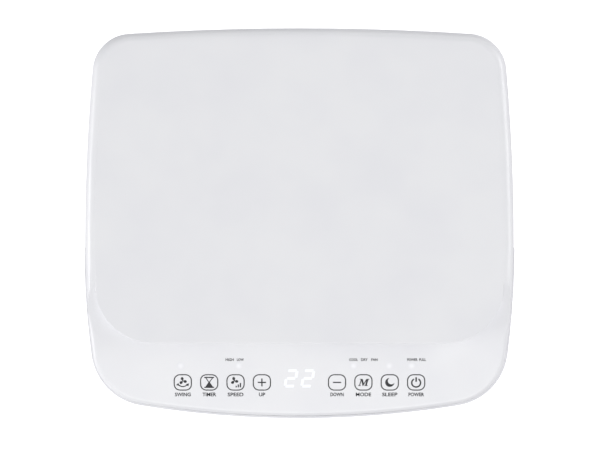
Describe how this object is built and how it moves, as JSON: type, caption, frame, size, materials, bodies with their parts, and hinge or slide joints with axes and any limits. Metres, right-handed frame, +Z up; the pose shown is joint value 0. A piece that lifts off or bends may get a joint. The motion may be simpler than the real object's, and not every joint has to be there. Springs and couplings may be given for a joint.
{
  "type": "portable air conditioner",
  "caption": "Upright portable air conditioner on casters, with a sloping touch-control deck, swinging front louvres, clip-in rear filters and a round rear hose outlet.",
  "frame": {"origin": "on the floor, under the middle of the casing's width and depth", "axes": "+Z up, -Y the front with the control deck and air outlet, +Y the back with the filters and hose outlet, +X the right-hand side seen from the front"},
  "size_m": [0.328, 0.296, 0.7],
  "materials": {
    "shell_white": "moulded white ABS, satin gloss",
    "louvre_white": "moulded white ABS",
    "base_grey": "moulded polypropylene",
    "duct_grey": "moulded polystyrene, fine texture",
    "blower_black": "glass-filled polypropylene",
    "link_acetal": "natural acetal",
    "motor_steel": "drawn steel, grey paint",
    "shaft_steel": "ground steel",
    "screw_zinc": "zinc-plated steel",
    "compressor_black": "black enamel on steel",
    "foot_rubber": "moulded rubber",
    "plug_rubber": "grey moulded rubber",
    "tube_copper": "drawn copper",
    "fin_aluminium": "rolled aluminium foil",
    "galvanised": "galvanised sheet",
    "board_green": "glass-epoxy circuit board",
    "capacitor_can": "drawn aluminium can",
    "display_lens": "light-grey epoxy face",
    "lamp_clear": "clear epoxy",
    "mesh_nylon": "woven nylon net",
    "motor_case": "plated steel can",
    "caster_black": "black nylon",
    "wheel_grey": "hard rubber tread"
  },
  "bodies": {
    "casing": {"top_cover": "shell_white", "front_shell": "shell_white", "rear_shell": "shell_white", "right_handle_cup": "shell_white", "left_handle_cup": "shell_white", "outlet_frame": "shell_white", "base_pan": "base_grey", "exhaust_ring": "base_grey", "drip_tray": "base_grey", "outlet_duct": "duct_grey", "upper_scroll": "duct_grey", "lower_scroll": "duct_grey", "exhaust_duct": "duct_grey", "float_switch": "link_acetal", "upper_fan_motor": "motor_steel", "lower_fan_motor": "motor_steel", "case_screws": "screw_zinc", "touch_springs": "screw_zinc", "compressor": "compressor_black", "compressor_feet": "foot_rubber", "cord_gland": "plug_rubber", "evaporator_tubes": "tube_copper", "condenser_tubes": "tube_copper", "refrigerant_pipes": "tube_copper", "evaporator_fins": "fin_aluminium", "condenser_fins": "fin_aluminium", "control_box": "galvanised", "main_board": "board_green", "display_board": "board_green", "run_capacitor": "capacitor_can", "digit_display": "display_lens", "indicator_lamps": "lamp_clear", "swing_motor": "motor_case"},
    "lower_louvre": {"lower_louvre": "louvre_white"},
    "upper_louvre": {"upper_louvre": "louvre_white"},
    "louvre_link": {"louvre_link": "link_acetal"},
    "vane_1": {"vane_1": "louvre_white"},
    "vane_2": {"vane_2": "louvre_white"},
    "vane_3": {"vane_3": "louvre_white"},
    "vane_4": {"vane_4": "louvre_white"},
    "vane_link": {"vane_link": "link_acetal"},
    "upper_blower": {"upper_blower_wheel": "blower_black", "upper_fan_shaft": "shaft_steel"},
    "lower_blower": {"lower_blower_wheel": "blower_black", "lower_fan_shaft": "shaft_steel"},
    "water_float": {"water_float": "link_acetal"},
    "upper_filter": {"upper_intake_grille": "shell_white", "upper_filter_mesh": "mesh_nylon"},
    "lower_filter": {"lower_intake_grille": "shell_white", "lower_filter_mesh": "mesh_nylon"},
    "upper_drain_plug": {"upper_drain_plug": "plug_rubber"},
    "lower_drain_plug": {"lower_drain_plug": "plug_rubber"},
    "front_left_swivel": {"front_left_caster_fork": "caster_black"},
    "front_left_wheel": {"front_left_caster_wheel": "wheel_grey"},
    "front_right_swivel": {"front_right_caster_fork": "caster_black"},
    "front_right_wheel": {"front_right_caster_wheel": "wheel_grey"},
    "rear_left_swivel": {"rear_left_caster_fork": "caster_black"},
    "rear_left_wheel": {"rear_left_caster_wheel": "wheel_grey"},
    "rear_right_swivel": {"rear_right_caster_fork": "caster_black"},
    "rear_right_wheel": {"rear_right_caster_wheel": "wheel_grey"}
  },
  "joints": [
    {"name": "lower_louvre_swing", "type": "hinge", "parent": "casing", "child": "lower_louvre", "pos_m": [0, -0.124, 0.6125], "axis": [1, 0, 0], "range_deg": [-30, 30]},
    {"name": "upper_louvre_swing", "type": "hinge", "parent": "casing", "child": "upper_louvre", "pos_m": [0, -0.124, 0.6375], "axis": [1, 0, 0], "range_deg": [-30, 30]},
    {"name": "louvre_link_slide", "type": "slide", "parent": "casing", "child": "louvre_link", "axis": [0, 0, 1], "range_m": [-0.0037, 0.0037]},
    {"name": "vane_1_turn", "type": "hinge", "parent": "casing", "child": "vane_1", "pos_m": [-0.075, -0.092, 0.625], "axis": [0, 0, 1], "range_deg": [-30, 30]},
    {"name": "vane_2_turn", "type": "hinge", "parent": "casing", "child": "vane_2", "pos_m": [-0.025, -0.092, 0.625], "axis": [0, 0, 1], "range_deg": [-30, 30]},
    {"name": "vane_3_turn", "type": "hinge", "parent": "casing", "child": "vane_3", "pos_m": [0.025, -0.092, 0.625], "axis": [0, 0, 1], "range_deg": [-30, 30]},
    {"name": "vane_4_turn", "type": "hinge", "parent": "casing", "child": "vane_4", "pos_m": [0.075, -0.092, 0.625], "axis": [0, 0, 1], "range_deg": [-30, 30]},
    {"name": "vane_link_slide", "type": "slide", "parent": "casing", "child": "vane_link", "axis": [1, 0, 0], "range_m": [-0.0053, 0.0053]},
    {"name": "upper_blower_spin", "type": "hinge", "parent": "casing", "child": "upper_blower", "pos_m": [0.01, 0.05, 0.514], "axis": [0, 1, 0], "continuous": true},
    {"name": "lower_blower_spin", "type": "hinge", "parent": "casing", "child": "lower_blower", "pos_m": [-0.05, 0.05, 0.19], "axis": [0, 1, 0], "continuous": true},
    {"name": "water_float_rise", "type": "slide", "parent": "casing", "child": "water_float", "axis": [0, 0, 1], "range_m": [0, 0.012]},
    {"name": "upper_filter_pull", "type": "slide", "parent": "casing", "child": "upper_filter", "axis": [0, 1, 0], "range_m": [0, 0.06]},
    {"name": "lower_filter_pull", "type": "slide", "parent": "casing", "child": "lower_filter", "axis": [0, 1, 0], "range_m": [0, 0.06]},
    {"name": "upper_drain_plug_pull", "type": "slide", "parent": "casing", "child": "upper_drain_plug", "axis": [0, 1, 0], "range_m": [0, 0.02]},
    {"name": "lower_drain_plug_pull", "type": "slide", "parent": "casing", "child": "lower_drain_plug", "axis": [0, 1, 0], "range_m": [0, 0.02]},
    {"name": "front_left_swivel_turn", "type": "hinge", "parent": "casing", "child": "front_left_swivel", "pos_m": [-0.115, -0.1, 0.045], "axis": [0, 0, 1], "continuous": true},
    {"name": "front_left_wheel_roll", "type": "hinge", "parent": "front_left_swivel", "child": "front_left_wheel", "pos_m": [-0.115, -0.086, 0.019], "axis": [1, 0, 0], "continuous": true},
    {"name": "front_right_swivel_turn", "type": "hinge", "parent": "casing", "child": "front_right_swivel", "pos_m": [0.115, -0.1, 0.045], "axis": [0, 0, 1], "continuous": true},
    {"name": "front_right_wheel_roll", "type": "hinge", "parent": "front_right_swivel", "child": "front_right_wheel", "pos_m": [0.115, -0.086, 0.019], "axis": [1, 0, 0], "continuous": true},
    {"name": "rear_left_swivel_turn", "type": "hinge", "parent": "casing", "child": "rear_left_swivel", "pos_m": [-0.115, 0.105, 0.045], "axis": [0, 0, 1], "continuous": true},
    {"name": "rear_left_wheel_roll", "type": "hinge", "parent": "rear_left_swivel", "child": "rear_left_wheel", "pos_m": [-0.115, 0.119, 0.019], "axis": [1, 0, 0], "continuous": true},
    {"name": "rear_right_swivel_turn", "type": "hinge", "parent": "casing", "child": "rear_right_swivel", "pos_m": [0.115, 0.105, 0.045], "axis": [0, 0, 1], "continuous": true},
    {"name": "rear_right_wheel_roll", "type": "hinge", "parent": "rear_right_swivel", "child": "rear_right_wheel", "pos_m": [0.115, 0.119, 0.019], "axis": [1, 0, 0], "continuous": true}
  ],
  "couplings": [
    {"joint": "upper_louvre_swing", "follows": "lower_louvre_swing", "ratio": 1},
    {"joint": "louvre_link_slide", "follows": "lower_louvre_swing", "m_per_rad": 0.007},
    {"joint": "vane_2_turn", "follows": "vane_1_turn", "ratio": 1},
    {"joint": "vane_3_turn", "follows": "vane_1_turn", "ratio": 1},
    {"joint": "vane_4_turn", "follows": "vane_1_turn", "ratio": 1},
    {"joint": "vane_link_slide", "follows": "vane_1_turn", "m_per_rad": -0.01}
  ]
}
